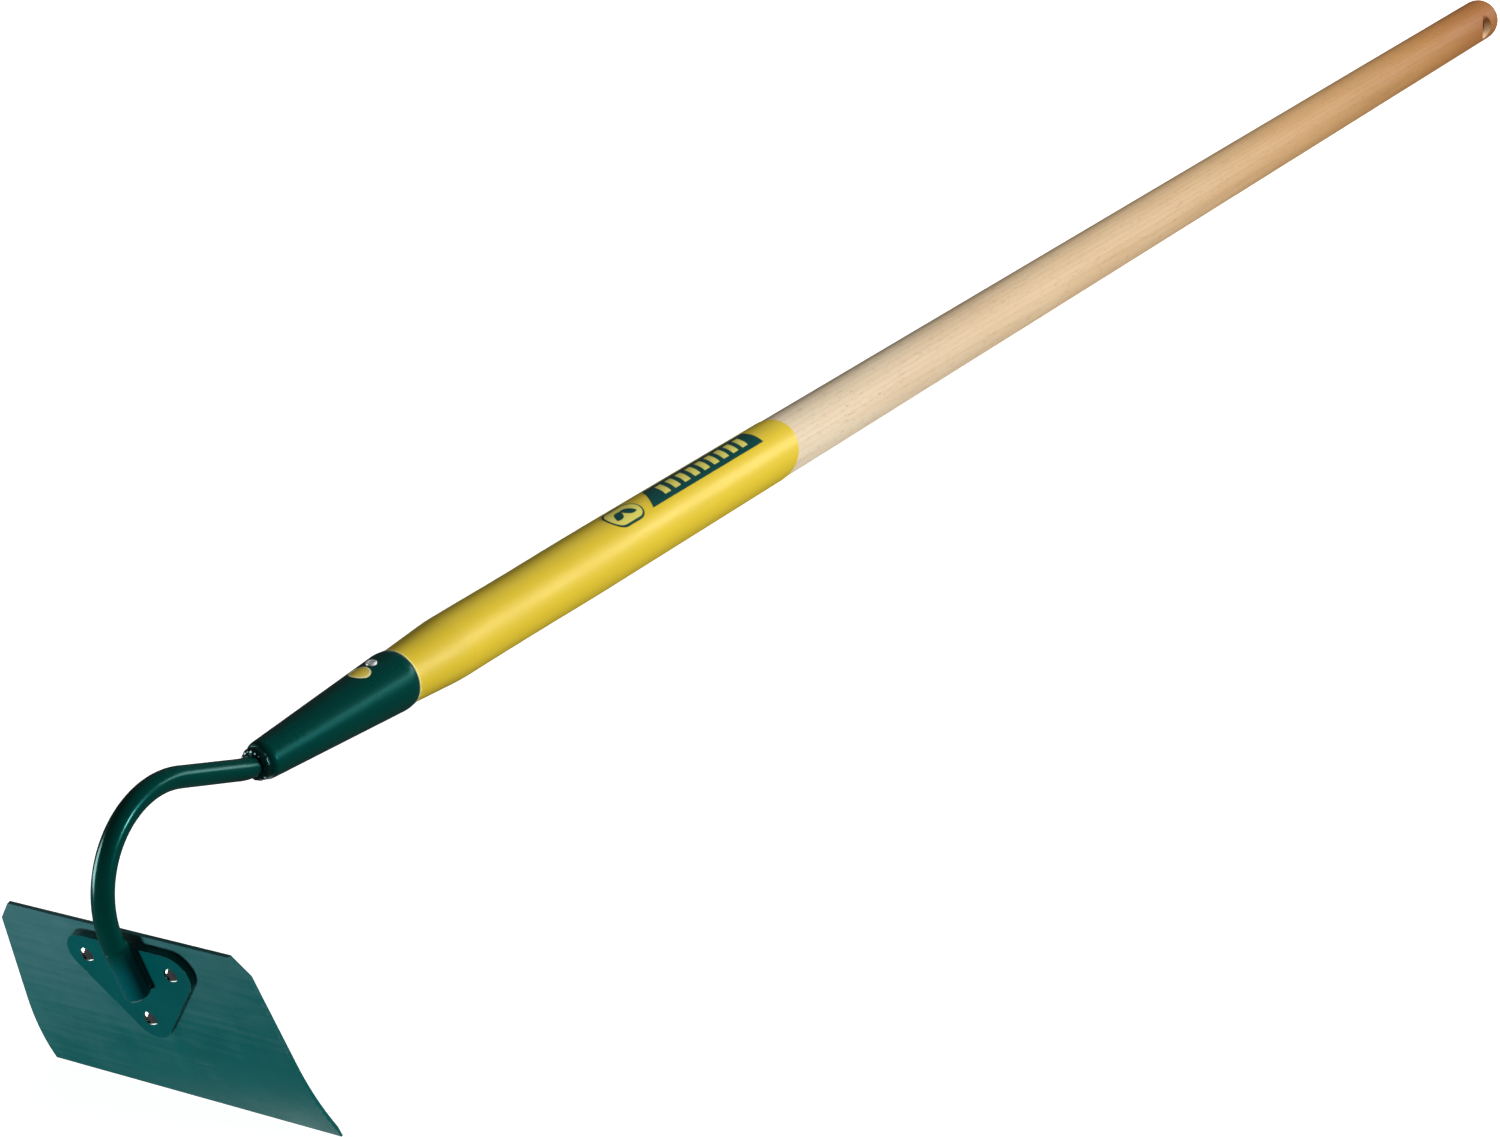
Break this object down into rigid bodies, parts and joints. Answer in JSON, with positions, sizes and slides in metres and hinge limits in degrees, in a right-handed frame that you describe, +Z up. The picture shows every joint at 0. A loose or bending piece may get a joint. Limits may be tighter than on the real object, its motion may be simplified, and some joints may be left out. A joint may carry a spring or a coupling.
{
  "type": "draw hoe",
  "caption": "Long-handled draw hoe: curved blade riveted to a plate on a swan neck, tapered steel socket, round wooden handle with a coloured lower sleeve.",
  "frame": {"origin": "centre of the footprint's bounding box, on the ground that the hoe lies on", "axes": "+X from the head towards the handle's end, +Y across the blade to the left, +Z up; the hoe lies on its cutting edge and the end of its handle"},
  "size_m": [1.4044, 0.14, 0.1289],
  "materials": {
    "wood": "smooth turned pale hardwood with a thin clear varnish",
    "yellow_sleeve": "smooth satin yellow film",
    "label": "printed film, dark green with plain pale yellow marks",
    "green_gloss": "glossy dark green enamel",
    "green_plate": "satin dark teal-green enamel",
    "green_blade": "satin teal-green enamel, slightly mottled",
    "yellow_sticker": "glossy sticker",
    "zinc": "bright zinc plating",
    "dark_steel": "dark bare steel"
  },
  "bodies": {
    "root": {"handle": "wood", "handle_sleeve": "yellow_sleeve", "label_panel": "label", "label_disc": "label", "socket": "green_gloss", "socket_badge": "yellow_sticker", "socket_screw": "zinc", "neck": "green_gloss", "neck_weld": "green_gloss", "plate_weld_left": "green_gloss", "plate_weld_right": "green_gloss", "mounting_plate": "green_plate", "blade": "green_blade", "rivet_left": "zinc", "rivet_right": "zinc", "rivet_lower": "zinc", "mandrel_left": "dark_steel", "mandrel_right": "dark_steel", "mandrel_lower": "dark_steel"}
  },
  "joints": []
}
